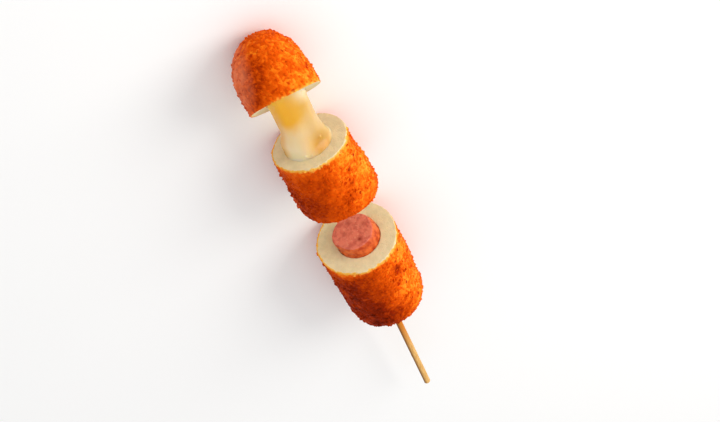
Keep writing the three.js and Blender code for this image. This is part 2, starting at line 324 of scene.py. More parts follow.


# %% [markdown]
# Frying browns unevenly: what stuck out or touched the pan goes deep red-brown, small dark specks
# are crumbs that caught, and the edges beside a cut stay pale. One number for each vertex says how far
# that has gone, and it carries painted shade and painted light as well: the left side of every length
# is made browner as shade, and the lit right side paler. Noise alone gives a crust with no character,
# so it is only the ground here, and the patches and specks that make this corn dog this one are
# listed on top of it. The broad patches are partly frying and partly painted shade and painted light.

# %% How brown the crust is, with painted shade and painted light
PATCH = 12 * mm
SPOT = PATCH / 3
BROWN = 0.48
PATCH_BROWN = 0.14
SPOT_BROWN = 0.1
# painted shade on the left side of each length, painted light on its right side
LEFT_PAINTED_SHADE = 0.16
PAINTED_SHADE_SIDE = (-4 * mm, 24 * mm)
RIGHT_PAINTED_LIGHT = 0.06
PAINTED_LIGHT_SIDE = (8 * mm, 22 * mm)
CUT_PALE = 0.32
CUT_PALE_REACH = 3.0 * mm
BROWNED_AND_SHADED = (
    # place in the frame in millimetres, how far it reaches in millimetres, how much browner it is
    # broad patches, partly painted shade and painted light, and pale ones where the amount is below
    # nothing
    ((-25, 20, 41), 18, 0.14),
    ((-50, 15, 42), 18, 0.24),
    ((-24, 8, 49), 12, 0.16),
    ((-60, 4, 44), 15, 0.2),
    ((-27, -15, 46), 5, 0.22),
    ((-20, -22, 40), 8, -0.2),
    ((-42, -16, 45), 8, -0.16),
    ((50, 18, 40), 15, 0.14),
    ((63, 6, 46), 8, 0.14),
    ((43, 2, 47), 9, 0.08),
    ((46, -8, 47), 7, 0.2),
    ((70, -14, 43), 9, -0.1),
    ((52, -23, 37), 9, -0.16),
    ((149, 12, 34), 9, 0.1),
    ((138, 17, 40), 10, 0.09),
    ((144, 5, 40), 8, 0.08),
    ((149, 5, 37), 5, -0.05),
    ((135, -12, 45), 7, -0.14),
    ((150, -12, 38), 11, -0.07),
    ((-45, -20, 40), 12, -0.1),
    # smaller ones
    ((-33, 0, 50), 6, 0.2),
    ((-25, -21, 39), 6, 0.12),
    ((-37, -22, 37), 5, 0.08),
    ((-38, -14, 45), 6, 0.06),
    ((-16, 1, 50), 4, 0.07),
    ((48, 2, 48), 6, -0.15),
    ((68, 11, 45), 5, 0.06),
    ((75, -2, 46), 4, 0.2),
    ((80, 20, 35), 5, -0.1),
    ((138, -3, 48), 5, -0.1),
    ((131, 7, 43), 5, -0.14),
    ((153, -3, 29), 10, 0.05),
    ((137, 21, 36), 7, -0.08),
    ((-11, 18, 44), 5, -0.3),
    ((-7, 22, 33), 4, -0.2),
    # specks that caught
    ((-23, -14, 46), 3.0, 0.28),
    ((-11, -23, 36), 1.8, 0.3),
    ((-42, -18, 41), 2.2, 0.24),
    ((-9, -12, 46), 1.8, 0.24),
    ((-35, -11, 47), 2.0, 0.2),
    ((53, -12, 45), 1.8, 0.3),
    ((62, -14, 43), 1.6, 0.26),
    ((43, -26, 27), 2.0, 0.2),
    ((137, -17, 34), 1.8, 0.26),
    ((136, -11, 45), 1.7, 0.26),
    ((146, -8, 36), 1.6, 0.22),
    ((150, 7, 35), 2.0, 0.15),
)


def near_spots(shaped, spots):
    """Adds up listed spots, each a place in millimetres, a reach and an amount."""
    total = np.zeros(len(shaped))
    for place, reach, amount in spots:
        total += amount * hill(np.linalg.norm(shaped / mm - place, axis=1), 0, reach)
    return total


def browning_and_shade(places, shaped, from_cut, offset):
    patches = sampled(places, PATCH, offset)
    spots = sampled(places, SPOT, offset)
    pale_edge = np.exp(-from_cut / CUT_PALE_REACH)
    # painted shade: the left side browner; painted light: the right side paler
    left = LEFT_PAINTED_SHADE * smoothstep(shaped[:, 1], *PAINTED_SHADE_SIDE)
    right = RIGHT_PAINTED_LIGHT * smoothstep(-shaped[:, 1], *PAINTED_LIGHT_SIDE)
    ground = BROWN + PATCH_BROWN * patches + SPOT_BROWN * spots - CUT_PALE * pale_edge
    # listed patches and specks; the broad patches are partly painted shade and painted light
    return ground + left - right + near_spots(shaped, BROWNED_AND_SHADED)


# %% [markdown]
# Materials and crumbs both have to know where on the crust they are, so each vertex keeps a few
# numbers. Depth is how far it lies under the fried skin: the brown creeps a little over the edge of
# a cut, furthest on the left. Crumbly says where crumbs grow: on the skin, not on the bare edge of
# a cut, and not where the dough lies flat. Tone is one number for each grain. Lively is how much
# the grains differ: the smooth left side is even, the right side and the tip are not. The painted
# rim light is a paler band of painted light down the left of the tip. The crumbs inherit all of them.

# %% What each vertex remembers
CREEP = 0.5 * mm
LEFT_CREEP = 2.7 * mm
CREEP_FADE = 1.0 * mm
LEFT_CRISP = 2.0 * mm
BARE_EDGE = 0.8 * mm
CRUMBS_FROM = 1.4 * mm
OFF_THE_TABLE = 0.3 * mm
TIP_FROM = 112 * mm
LIVELY_SIDE = (-6 * mm, 14 * mm)
TIP_LIVELY = 0.8
# where the painted rim light lies: a pale band of painted light down the left flank of the tip
RIM_LIGHT_FLANK = (12 * mm, 20 * mm)
RIM_LIGHT_MIDDLE = 145 * mm
RIM_LIGHT_SLOPE = 0.4


def remember(thing, places, shaped, depth, crisp, offset):
    from_cut = np.abs(places[:, 0])
    on_skin = depth == 0
    left = smoothstep(np.cos(polar(places)[0]), 0.1, 0.8)
    creep = (CREEP + LEFT_CREEP * left) * np.exp(-depth / CREEP_FADE)
    store(thing, "depth", np.where(on_skin, -from_cut - crisp - LEFT_CRISP * left, depth - creep))
    bare = BARE_EDGE * (1 - left)
    grows = on_skin * smoothstep(from_cut - bare, 0, CRUMBS_FROM)
    store(thing, "crumbly", grows * (shaped[:, 2] > OFF_THE_TABLE))
    store(thing, "browning_and_shade", browning_and_shade(places, shaped, from_cut + 2 * crisp, offset))
    store(thing, "tone", grain_tone(places, offset))
    on_tip = shaped[:, 0] > TIP_FROM
    lively = smoothstep(-shaped[:, 1], *LIVELY_SIDE)
    store(thing, "lively", np.maximum(lively, TIP_LIVELY * on_tip))
    # painted rim light down the left of the tip
    flank = shaped[:, 1] + RIM_LIGHT_SLOPE * (shaped[:, 0] - RIM_LIGHT_MIDDLE)
    painted_rim_light = smoothstep(flank, *RIM_LIGHT_FLANK) * on_tip
    store(thing, "painted_rim_light", painted_rim_light * (0.7 + 0.6 * sampled(places, CLUMP, offset)))


# %% [markdown]
# A length of dough is an outline in stretches: fried skin, cut bread, and the hidden bore that holds
# the cheese or the sausage. Skin and bread are walked in steps of under half a millimetre, so that
# the relief has vertices to move. The skin is pushed along its own normal. A cut keeps its plane,
# apart from its pores, and only its outermost millimetres follow the skin, so the rim stays in
# one piece.

# %% Build one length of dough
STEP = 0.42 * mm
RIM_FOLLOW = 2.5 * mm
PORES_FROM = 1 * mm
HIDDEN = 10 * mm


def skin_normals(outline):
    """Outward directions (radial, axial) along an outline of skin."""
    slope = np.gradient(outline, axis=0)
    normal = np.stack([slope[:, 1], -slope[:, 0]], axis=1) * np.sign(outline[-1, 1] - outline[0, 1])
    return normal / np.maximum(np.hypot(*normal.T), 1e-12)[:, None]


def stretch(kind, points, facing=0):
    """One stretch of an outline as rows of radius, along, depth, radial, axial and pore direction."""
    outline = np.array(points) if kind == "hidden" else resampled(points, STEP)
    rows = np.zeros((len(outline), 6))
    rows[:, :2] = outline
    rows[:, 2] = {"skin": 0, "cut": outline[:, 0].max() - outline[:, 0], "hidden": HIDDEN}[kind]
    rows[:, 3] = 1
    if kind == "skin":
        rows[:, 3:5] = skin_normals(outline)
    rows[:, 5] = facing
    return rows


def dough_length(name, stretches, reshape, place, offset, closed, crisp=0.0):
    """Builds one length. Crisp puts its skin that much further from the cut, so it stays brown."""
    table = np.concatenate(stretches)
    sides = round(math.tau * table[:, 0].max() / STEP)
    places, faces, rows = turned(table[:, :2], sides, closed)
    depth, radial, axial, facing = (table[rows, column] for column in (2, 3, 4, 5))
    angle, radius = polar(places)
    rise = crust_relief(places, offset) * (1 - smoothstep(depth, 0, RIM_FOLLOW))
    sink = bread_relief(places, offset) * smoothstep(depth, 0, PORES_FROM) * facing
    shaped = reshape(places, angle, radius)
    shaped[:, 1] += rise * radial * np.cos(angle)
    shaped[:, 2] += rise * radial * np.sin(angle)
    shaped[:, 0] += rise * axial + sink
    shaped = place(shaped)
    shaped[:, 2] = np.maximum(shaped[:, 2], 0)
    thing = add_object(name, shaped, faces)
    remember(thing, places, shaped, depth, crisp, offset)
    return thing


# %% [markdown]
# The middle length is a ring of bread round its cheese, cut at both ends, so its outline is a closed
# loop: skin, front cut, bore, back cut. It was pressed as it lay, so it bellies out, and its right
# side spreads towards the back. The shape function moves the turned places, fully at the skin
# and not at all at the bore, which has to stay round for the cheese.

# %% The middle length
MIDDLE_SKIN = MIDDLE_RADIUS - CRUMB_ROOM
MIDDLE_BORE = CORE_RADIUS + GAP
MIDDLE_SWELL = 0.8 * mm
MIDDLE_SPREAD = 2.8 * mm
SPREAD_START = 0.3
MIDDLE_LEAN = math.radians(2.5)
BORE_END = 1 * mm


def middle_shape(places, angle, radius):
    outer = outward(radius, MIDDLE_BORE, MIDDLE_SKIN)
    share = -places[:, 0] / MIDDLE_LENGTH
    right = np.maximum(0, -np.cos(angle)) * smoothstep(share, SPREAD_START, 1)
    belly = MIDDLE_SWELL * bow(share) + MIDDLE_SPREAD * right
    shaped = swollen(places, (belly + lumps(angle, places[:, 0])) * outer)
    shaped[:, 1] += CORE_SIDE * (1 - outer)
    shaped[:, 0] += math.tan(MIDDLE_LEAN) * shaped[:, 1] * outer * smoothstep(share, 0.5, 1)
    return shaped


middle_crust = dough_length(
    "middle_crust",
    [
        stretch("skin", [(MIDDLE_SKIN, -MIDDLE_LENGTH), (MIDDLE_SKIN, 0)]),
        stretch("cut", [(MIDDLE_SKIN, 0), (MIDDLE_BORE, 0)], facing=1)[1:],
        stretch("hidden", [(MIDDLE_BORE, -BORE_END), (MIDDLE_BORE, BORE_END - MIDDLE_LENGTH)]),
        stretch("cut", [(MIDDLE_BORE, -MIDDLE_LENGTH), (MIDDLE_SKIN, -MIDDLE_LENGTH)], facing=-1)[:-1],
    ],
    reshape=middle_shape,
    place=lambda places: placed(places, 0, MIDDLE_YAW, MIDDLE_CUT),
    offset=(3.1, 8.2, 5.7),
    closed=True,
)

# %% [markdown]
# The lowest length keeps its rounded end, where the stick goes in. Batter runs down while it sets, so
# the end is blunter than a ball and the body tapers a little towards it. Sausage and stick run
# through it at a slight angle, and its bore has to follow them. The knife went through aslant:
# the slant fades out halfway down, which leaves the far end square.

# %% The lowest length, with its rounded end
BOTTOM_SKIN = BOTTOM_RADIUS - CRUMB_ROOM
BOTTOM_TAPER = 0.05
BOTTOM_ROUNDING = 15 * mm
BOTTOM_BLUNTNESS = 2.2
SAUSAGE_BORE = SAUSAGE_RADIUS + GAP
STICK_BORE = STICK_RADIUS + GAP
STICK_HOLD = 8 * mm
SAUSAGE_SHIFT = (-1.2 * mm, 1.3 * mm)
STICK_DRIFT = 5.0 * mm


def core_shift(along):
    """Sideways and upward shift of the sausage and the stick, which run through at a slight angle."""
    share = -along / (BOTTOM_LENGTH + STICK_OUT)
    side = SAUSAGE_SHIFT[0] * (1 - share) + STICK_DRIFT * share
    return side, SAUSAGE_SHIFT[1] * (1 - share)


def bottom_shape(places, angle, radius):
    at_end = places[:, 0] < BOTTOM_ROUNDING - BOTTOM_LENGTH
    on_cut = 1 - outward(radius, SAUSAGE_BORE, BOTTOM_SKIN)
    held = np.where(at_end, np.exp((STICK_BORE - radius) / STICK_HOLD), on_cut)
    shaped = swollen(places, lumps(angle, places[:, 0]) * np.where(at_end, 1, 1 - on_cut))
    side, up = core_shift(places[:, 0])
    shaped[:, 1] += side * held
    shaped[:, 2] += up * held
    lean = math.tan(BOTTOM_SLANT) * smoothstep(places[:, 0], -BOTTOM_LENGTH / 2, 0)
    shaped[:, 0] -= shaped[:, 2] * lean
    return shaped


def place_on_bottom(places):
    return placed(places, BOTTOM_PITCH, BOTTOM_YAW, BOTTOM_CUT)


def tapered(share):
    """The skin's radius from the cut, at 0, to the shoulder of the rounded end, at 1."""
    return BOTTOM_SKIN * (1 - BOTTOM_TAPER * share**2)


shoulder = BOTTOM_ROUNDING - BOTTOM_LENGTH
end_round = quarter_round(tapered(1), STICK_BORE, shoulder, -BOTTOM_ROUNDING, BOTTOM_BLUNTNESS)
flank = [(tapered(share), shoulder * share) for share in np.linspace(1, 0, 30)]
bore_walk = np.linspace(-BORE_END, -SAUSAGE_DEPTH, 12)
bore_end = [(SAUSAGE_BORE, -SAUSAGE_DEPTH - GAP), (STICK_BORE, -SAUSAGE_DEPTH - GAP)]
bottom_crust = dough_length(
    "bottom_crust",
    [
        stretch("skin", end_round[::-1] + flank[1:]),
        stretch("cut", [(BOTTOM_SKIN, 0), (SAUSAGE_BORE, 0)], facing=1)[1:],
        stretch("hidden", [(SAUSAGE_BORE, along) for along in bore_walk]),
        stretch("hidden", bore_end),
    ],
    reshape=bottom_shape,
    place=place_on_bottom,
    offset=(11.4, 2.9, 7.3),
    closed=True,
)

# %% [markdown]
# The tip is a dome on a short straight part, with a blind bore that the cheese fills. Its rim stays
# crisp and brown up to the very edge, and folds over the cut as a soft lip.

# %% The rounded tip
TIP_SKIN = TIP_RADIUS - CRUMB_ROOM
TIP_BORE = TIP_CORE_RADIUS + GAP
TIP_BLUNTNESS = 2.15
TIP_BOW = 1.7 * mm
TIP_CORE_SIDE = -0.4 * mm
TIP_LIP = 1.8 * mm
LIP_REACH = 12 * mm


def tip_shape(places, angle, radius):
    outer = outward(radius, TIP_BORE, TIP_SKIN)
    outer = np.where(places[:, 0] > TIP_CORE_DEPTH + BORE_END, 1, outer)
    fade = 1 - smoothstep(places[:, 0], TIP_LENGTH * 0.6, TIP_LENGTH)
    shaped = swollen(places, lumps(angle, places[:, 0]) * fade * outer)
    shaped[:, 1] += TIP_BOW * bow(places[:, 0] / TIP_LENGTH) * outer + TIP_CORE_SIDE * (1 - outer)
    lip = np.maximum(0, np.sin(angle)) ** 2 + 0.6 * np.maximum(0, np.cos(angle)) ** 2
    shaped[:, 0] -= TIP_LIP * lip * outer**2 * (1 - smoothstep(places[:, 0], 0, LIP_REACH))
    return shaped


straight = TIP_LENGTH - TIP_DOME
dome = quarter_round(TIP_SKIN, 0, straight, TIP_DOME - CRUMB_ROOM, TIP_BLUNTNESS, count=120)
blind_end = quarter_round(TIP_BORE, 0, TIP_CORE_DEPTH - TIP_BORE / 2, TIP_BORE / 2 + GAP, count=6)
tip_crust = dough_length(
    "tip_crust",
    [
        stretch("skin", dome[::-1] + [(TIP_SKIN, 0)]),
        stretch("cut", [(TIP_SKIN, 0), (TIP_BORE, 0)], facing=-1)[1:],
        stretch("hidden", [(TIP_BORE, BORE_END)] + blind_end),
    ],
    reshape=tip_shape,
    place=lambda places: placed(places, TIP_PITCH, 0, TIP_CUT),
    offset=(6.6, 12.1, 1.5),
    closed=False,
    crisp=2.0 * mm,
)

# %% [markdown]
# Melted cheese between two pieces is a tube that necks in the middle and spreads into a pool at each
# end. Metaballs or a sculpt could make it, but a lathe that is bent afterwards keeps full control of
# its width. One broad ridge runs down it into the pool with a hollow beside it, soft folds wind
# along it, and a few blisters sit in the pool. All of these are placed by an angle in radians round
# the strand, which starts on the left side and grows towards the top.

# %% Width and relief of the cheese
STRAND_LENGTH = math.hypot(TIP_CUT.x - MIDDLE_CUT.x, TIP_CUT.z - MIDDLE_CUT.z)
STRAND_HALF_WIDTH = 11.2 * mm
STRAND_FLARE = 22 * mm
STRAND_TIP_FLARE = 6 * mm
POOL_INSET = 1.0 * mm
FOOT = 1.7 * mm
FOOT_REACH = 2.4 * mm
SKIRT = 6 * mm
POOL_GIRTH = 13 * mm
RIDGES = (
    # angle, width in radians, height in millimetres
    (1.2, 0.5, 0.7),
    (2.2, 0.45, -1.9),
    (2.85, 0.3, 0.6),
)
FOLDS = (
    # turns round it, radians per metre along it, phase, height in millimetres
    (5, 40, 0, 0.2),
    (8, -60, 1.3, 0.12),
)
BLISTERS = (
    # distance from the cut, angle, radius
    (2.6 * mm, 1.25, 1.3 * mm),
    (1.6 * mm, 1.5, 0.9 * mm),
    (7.5 * mm, 2.3, 1.6 * mm),
    (3.0 * mm, 4.4, 1.3 * mm),
)


def cheese_radius(along):
    pool = (1 - smoothstep(along, 0, STRAND_FLARE)) * (CORE_RADIUS - POOL_INSET - STRAND_HALF_WIDTH)
    top = smoothstep(along, STRAND_LENGTH - STRAND_TIP_FLARE, STRAND_LENGTH)
    foot = FOOT * np.exp(-along / FOOT_REACH)
    return STRAND_HALF_WIDTH + pool + foot + top * (TIP_CORE_RADIUS - STRAND_HALF_WIDTH)


def turned_from(angle, centre):
    """How far one angle is from another, the short way round."""
    return np.angle(np.exp(1j * (angle - centre)))


def beside(angle, centre, width):
    """1 at an angle round the axis, falling smoothly to 0 away from it."""
    return hill(turned_from(angle, centre), 0, width)


def cheese_relief(along, angle):
    leaves_pool = smoothstep(along, 0.2 * mm, 5 * mm)
    reaches_tip = smoothstep(along, STRAND_LENGTH - 4 * mm, STRAND_LENGTH)
    skirt = hill(along, SKIRT, SKIRT)
    ridge = sum(height * beside(angle, at, width) for at, width, height in RIDGES)
    back = 0.5 * np.cos(3 * angle + 1.0) * beside(angle, -1.6, 1.0)
    oval = 0.25 * np.cos(2 * angle + 0.5)
    folds = 0
    for turns, rate, phase, rise in FOLDS:
        folds = folds + rise * np.cos(turns * angle + rate * along + phase)
    height = leaves_pool * (1 - reaches_tip) * ((ridge + back) * skirt + oval + folds) * mm
    for at, turn, size in BLISTERS:
        reach = np.hypot(along - at, turned_from(angle, turn) * POOL_GIRTH)
        height += 0.5 * size * np.maximum(0, 1 - (reach / size) ** 2) ** 2
    return height


# %% [markdown]
# The straight cheese is bent afterwards. Along the strand every ring moves from the middle length's
# cut to the tip's cut and tilts with it, and past either end it goes straight on into its bore. The
# strand also sags a little to the left just above the pool, and is thinner at its waist.

# %% Turn the cheese, then bend it
STRAND_SAG = 0.13
SAG_AT = 9 * mm
SAG_REACH = 7 * mm
WAIST_THINNING = 0.06


def bent(places):
    """Bends the straight cheese: level in the middle length, then tilting on its way to the tip."""
    share = np.clip(places[:, 0] / STRAND_LENGTH, 0, 1)
    tilt = TIP_PITCH * smoothstep(share, 0, 1)
    yaw = MIDDLE_YAW * (1 - share)
    thin = 1 - WAIST_THINNING * np.sin(math.pi * share) ** 2
    axial = np.minimum(0, places[:, 0]) + np.maximum(0, places[:, 0] - STRAND_LENGTH)
    sag = STRAND_SAG * hill(places[:, 0], SAG_AT, SAG_REACH)
    sag *= (share > 0) & (share < 1) & (places[:, 1] > 0)
    side = places[:, 1] * (1 + sag) + CORE_SIDE * (1 - share) + TIP_CORE_SIDE * share
    up = places[:, 2] * thin
    forward = axial * np.cos(tilt) - up * np.sin(tilt)
    centre = np.outer(1 - share, MIDDLE_CUT) + np.outer(share, TIP_CUT)
    centre[:, 0] += forward * np.cos(yaw) - side * np.sin(yaw)
    centre[:, 1] += forward * np.sin(yaw) + side * np.cos(yaw)
    centre[:, 2] += axial * np.sin(tilt) + up * np.cos(tilt)
    return centre


core_walk = np.linspace(-MIDDLE_LENGTH, -0.9 * mm, 12)
strand_walk = np.linspace(-0.4 * mm, STRAND_LENGTH, 150)
core_end = STRAND_LENGTH + TIP_CORE_DEPTH - TIP_CORE_RADIUS / 2
cheese_outline = [(CORE_RADIUS * share, -MIDDLE_LENGTH) for share in np.linspace(0, 1, 30)[:-1]]
cheese_outline += [(CORE_RADIUS, along) for along in core_walk]
cheese_outline += [(cheese_radius(along), along) for along in strand_walk]
cheese_outline += quarter_round(TIP_CORE_RADIUS, 0, core_end, TIP_CORE_RADIUS / 2, count=8)
places, faces, _ = turned(cheese_outline, sides=240)
angle, _ = polar(places)
along = places[:, 0].copy()
relief = cheese_relief(along, angle)
places[:, 1] += relief * np.cos(angle)
places[:, 2] += relief * np.sin(angle)
melted_cheese = add_object("melted_cheese", bent(places), faces)

# %% [markdown]
# Up the strand towards the tip the cheese is golden, partly its own colour and partly painted shade
# under the tip, and where it lies thick it is cream. In the hollow of the pool it is tan, partly its
# own colour and partly painted shade in the hollow, and down its left edge, away from the lamp, tan
# is painted as shade. Down its right side it is painted duller as shade, and painted highlights
# make it paler at the top right under the tip and on the pool. Four numbers on each vertex say how
# much of each there is. They are soft hills again, over the share of the way up the strand, which
# is 0 at the pool and 1 at the tip, and over the angle round it.

# %% Golden and tan cheese, with painted shade and painted highlights
share = np.clip(along / STRAND_LENGTH, 0, 1)
out_of_core = smoothstep(along, -2 * mm, 0)
# gold up the strand: partly the cheese's colour, partly painted shade under the tip
gold_and_shade_side = 0.40 + 0.75 * beside(angle, 1.15, 0.75)
golden_and_shade = smoothstep(share, 0.32, 0.74) * gold_and_shade_side + 0.16 * smoothstep(share, 0.14, 0.36)
# tan in the pool's hollow is partly painted shade; tan down the left edge is painted shade
tan_and_shade_hollow = 1.1 * beside(angle, 2.15, 0.7) * hill(along, 4 * mm, 10 * mm)
painted_shade_left_edge = 0.9 * beside(angle, -0.05, 0.6) * (1 - smoothstep(share, 0.6, 0.9))
# painted shade down the right side of the strand
painted_shade = beside(angle, 2.7, 1.1) * smoothstep(share, 0.0, 0.12)
# painted highlights: at the top right under the tip and on the pool
painted_highlight_top = 0.7 * smoothstep(share, 0.72, 0.95) * beside(angle, 2.5, 0.6)
painted_highlight_pool = 0.9 * (1 - smoothstep(share, 0.05, 0.35)) * beside(angle, 0.95, 0.45) * out_of_core
store(melted_cheese, "golden_and_shade", golden_and_shade)
# tan carries the cheese's tan and painted shade
store(melted_cheese, "tan", np.clip(tan_and_shade_hollow + painted_shade_left_edge, 0, 1) * out_of_core)
store(melted_cheese, "painted_shade", painted_shade)
store(melted_cheese, "painted_highlight", painted_highlight_top + painted_highlight_pool)
print("golden up to", round(golden_and_shade.max(), 2))

# %% [markdown]
# The sausage is a smooth skin over coarse meat. Its cut bulges a little and its edge is rounded,
# because the meat swells when it is cooked, and a few pits show where fat has melted out. Only what
# stands out of the dough needs a fine outline.

# %% The sausage's outline
SAUSAGE_PROUD = 7.4 * mm
SAUSAGE_FACE_RADIUS = 12.3 * mm
SAUSAGE_ROUNDING = 5 * mm
FACE_BULGE = 0.35 * mm
SAUSAGE_STEP = 0.35 * mm
EDGE_STEP = 0.3 * mm
FINE_FROM = -4 * mm
STICK_COVER = 10 * mm
SEAM = 0.2 * mm
EDGE_ROWS_OF_FACE = 3

edge_from = SAUSAGE_PROUD / 3
face_edge = quarter_round(SAUSAGE_RADIUS, SAUSAGE_FACE_RADIUS, edge_from, SAUSAGE_PROUD / 1.5)
face_rows = resampled([face_edge[-1], (0, SAUSAGE_PROUD + FACE_BULGE)], SAUSAGE_STEP)
inner_end = SAUSAGE_ROUNDING - SAUSAGE_DEPTH
closed_end = quarter_round(SAUSAGE_RADIUS, STICK_BORE, inner_end, -SAUSAGE_ROUNDING, count=8)
bore = [(0, GAP - STICK_COVER), (STICK_BORE, GAP - STICK_COVER), (STICK_BORE, BORE_END - SAUSAGE_DEPTH)]
side_ends = [(SAUSAGE_RADIUS, FINE_FROM), (SAUSAGE_RADIUS, edge_from - SEAM)]
edge_rows = resampled(face_edge, EDGE_STEP)
outline = bore + closed_end[::-1] + [tuple(row) for row in resampled(side_ends, SAUSAGE_STEP)]
first_face_row = len(outline) + len(edge_rows) - EDGE_ROWS_OF_FACE
outline += [tuple(row) for row in edge_rows] + [tuple(row) for row in face_rows[1:]]
print("rows of the sausage:", len(outline))

# %% [markdown]
# The skin gets long shallow wrinkles, from a noise that is drawn out along the sausage, and the edge
# of the cut wobbles. The cut leans, as the knife went through aslant, and it hangs a little to the
# side where it stands free.

# %% The sausage
SAUSAGE_SLANT = math.radians(8)
SAUSAGE_LEAN = 1.5 * mm
WRINKLE = 2.2 * mm
WRINKLE_RISE = 0.16 * mm
MEAT_PIT = 1.5 * mm
MEAT_PIT_LEVEL = 0.3
MEAT_PIT_DEPTH = 0.9 * mm

places, faces, rows = turned(outline, sides=200)
angle, radius = polar(places)
on_face = rows >= first_face_row
on_skin = (places[:, 0] > -3 * mm) & (rows > len(bore)) & ~on_face
wrinkles = sampled(places * (0.35, 1, 1), WRINKLE, (2.0, 5.0, 9.0))
pits = sampled(places, MEAT_PIT, (7.0, 1.0, 4.0))
wobble = 0.3 * mm * np.cos(3 * angle + 1) + 0.2 * mm * np.cos(5 * angle)
swell_out = np.where(on_skin, wrinkles * WRINKLE_RISE, 0) + wobble * (places[:, 0] > 1 * mm)
places = swollen(places, swell_out * np.minimum(1, radius / SAUSAGE_FACE_RADIUS))
places[:, 0] -= np.where(on_face, np.maximum(pits - MEAT_PIT_LEVEL, 0) * MEAT_PIT_DEPTH, 0)
near_cut = smoothstep(places[:, 0], -STICK_COVER, SAUSAGE_PROUD - 1 * mm)
side, up = core_shift(places[:, 0])
places[:, 1] += side + SAUSAGE_LEAN * smoothstep(places[:, 0], 1 * mm, SAUSAGE_PROUD)
places[:, 2] += up
places[:, 0] -= places[:, 2] * math.tan(SAUSAGE_SLANT) * near_cut
cut_sausage = add_object("cut_sausage", place_on_bottom(places), faces)

# %% [markdown]
# Two numbers for its material: cut tells the meat from the skin, and stained marks the few dark
# red spots of spice and browned meat in the cut, which are listed like those of the crust.

# %% Cut meat and its stains
STAINS = (
    # place in the frame in millimetres, how far it reaches in millimetres, strength
    ((1.3, -0.8, 34.7), 1.5, 1.0),
    ((4, 1.5, 19.5), 2.0, 0.5),
    ((2.5, 6, 26.5), 1.8, 0.4),
    ((3, -6.5, 26), 1.8, 0.4),
)
shaped = np.array([corner.co for corner in cut_sausage.data.vertices])
store(cut_sausage, "cut", on_face)
store(cut_sausage, "stained", near_spots(shaped, STAINS))
print("vertices of the cut:", on_face.sum())

# %% [markdown]
# The stick is split bamboo, rounded on a machine: nearly true, with shallow grooves along its fibres
# and one faint node where the cane had a joint. The material needs to know how far along the
# stick it is and where round it, because bamboo's fibres follow the cane and not the room.

# %% The stick
STICK_BEVEL = 0.4 * mm
STICK_END = -BOTTOM_LENGTH - STICK_OUT
CANE_NODE_AT = STICK_END + 31 * mm
CANE_NODE_REACH = 0.9 * mm
CANE_NODE_RISE = 0.12 * mm
GROOVE = 0.5 * mm
GROOVE_DEPTH = 0.07 * mm

stick_walk = np.linspace(STICK_END + STICK_BEVEL, -STICK_COVER - STICK_BEVEL, 260)
stick_rows = [((STICK_RADIUS - STICK_BEVEL) * share, STICK_END) for share in (0, 0.35, 0.7, 1)]
stick_rows += [(STICK_RADIUS, along) for along in stick_walk]
stick_rows += [(STICK_RADIUS - STICK_BEVEL, -STICK_COVER), (0, -STICK_COVER)]
places, faces, _ = turned(stick_rows, sides=48)
angle, radius = polar(places)
along = places[:, 0].copy()
grooves = sampled(places * (0.03, 1, 1), GROOVE, (1.0, 2.0, 3.0)) * GROOVE_DEPTH
cane_node = CANE_NODE_RISE * hill(along, CANE_NODE_AT, CANE_NODE_REACH)
places = swollen(places, (grooves + cane_node) * (radius / STICK_RADIUS))
side, up = core_shift(along)
places[:, 1] += side
places[:, 2] += up
bamboo_stick = add_object("bamboo_stick", place_on_bottom(places), faces)
store(bamboo_stick, "from_food", (-BOTTOM_LENGTH - along) / STICK_OUT)
store(bamboo_stick, "fibre", angle)

# %% [markdown]
# Panko crumbs are flakes and splinters of bread, no two alike. Eight rough chips are enough, because
# each copy is turned and sized at random. Each chip is an icosphere of twenty faces with its corners
# pulled in and out and one direction flattened.

# %% Eight chips
CHIP_COUNT = 8
CHIP_RADIUS = 0.5
CHIP_SMALLEST = (0.8, 0.6, 0.4)
CHIP_LARGEST = (1.35, 1.0, 0.75)

chance = np.random.default_rng(20)
chips = bpy.data.collections.new("chips")
bpy.context.scene.collection.children.link(chips)
for number in range(CHIP_COUNT):
    form = bmesh.new()
    bmesh.ops.create_icosphere(form, subdivisions=1, radius=CHIP_RADIUS)
    stretch_by = chance.uniform(CHIP_SMALLEST, CHIP_LARGEST)
    for corner in form.verts:
        corner.co *= chance.uniform(0.7, 1.25)
        corner.co = Vector(np.array(corner.co) * stretch_by)
    mesh = bpy.data.meshes.new(f"chip_{number}")
    form.to_mesh(mesh)
    form.free()
    chips.objects.link(bpy.data.objects.new(f"chip_{number}", mesh))

# %% [markdown]
# Both the crumb scatter and the materials are node trees. A small helper keeps them readable: it adds
# a node, and joins each input to another node's socket or sets it to a plain value.


# %% A helper for node trees
class Tree:
    def __init__(self, tree):
        self.nodes = tree.nodes
        self.links = tree.links

    def put(self, socket, value):
        if isinstance(value, bpy.types.NodeSocket):
            self.links.new(value, socket)
        else:
            socket.default_value = value

    def add(self, kind, inputs=None, **settings):
        node = self.nodes.new(kind)
        for name, value in settings.items():
            setattr(node, name, value)
        for name, value in (inputs or {}).items():
            self.put(node.inputs[name], value)
        return node

    def math(self, operation, *values):
        return self.add("ShaderNodeMath", dict(enumerate(values)), operation=operation).outputs[0]


# %% [markdown]
# Scattering thousands of crumbs by hand is hopeless, and a particle system would be lost on export.
# Geometry Nodes scatter them where the skin says it is crumbly. First the tree gets named inputs, and
# points are sown on the dough and sunk into it a little.

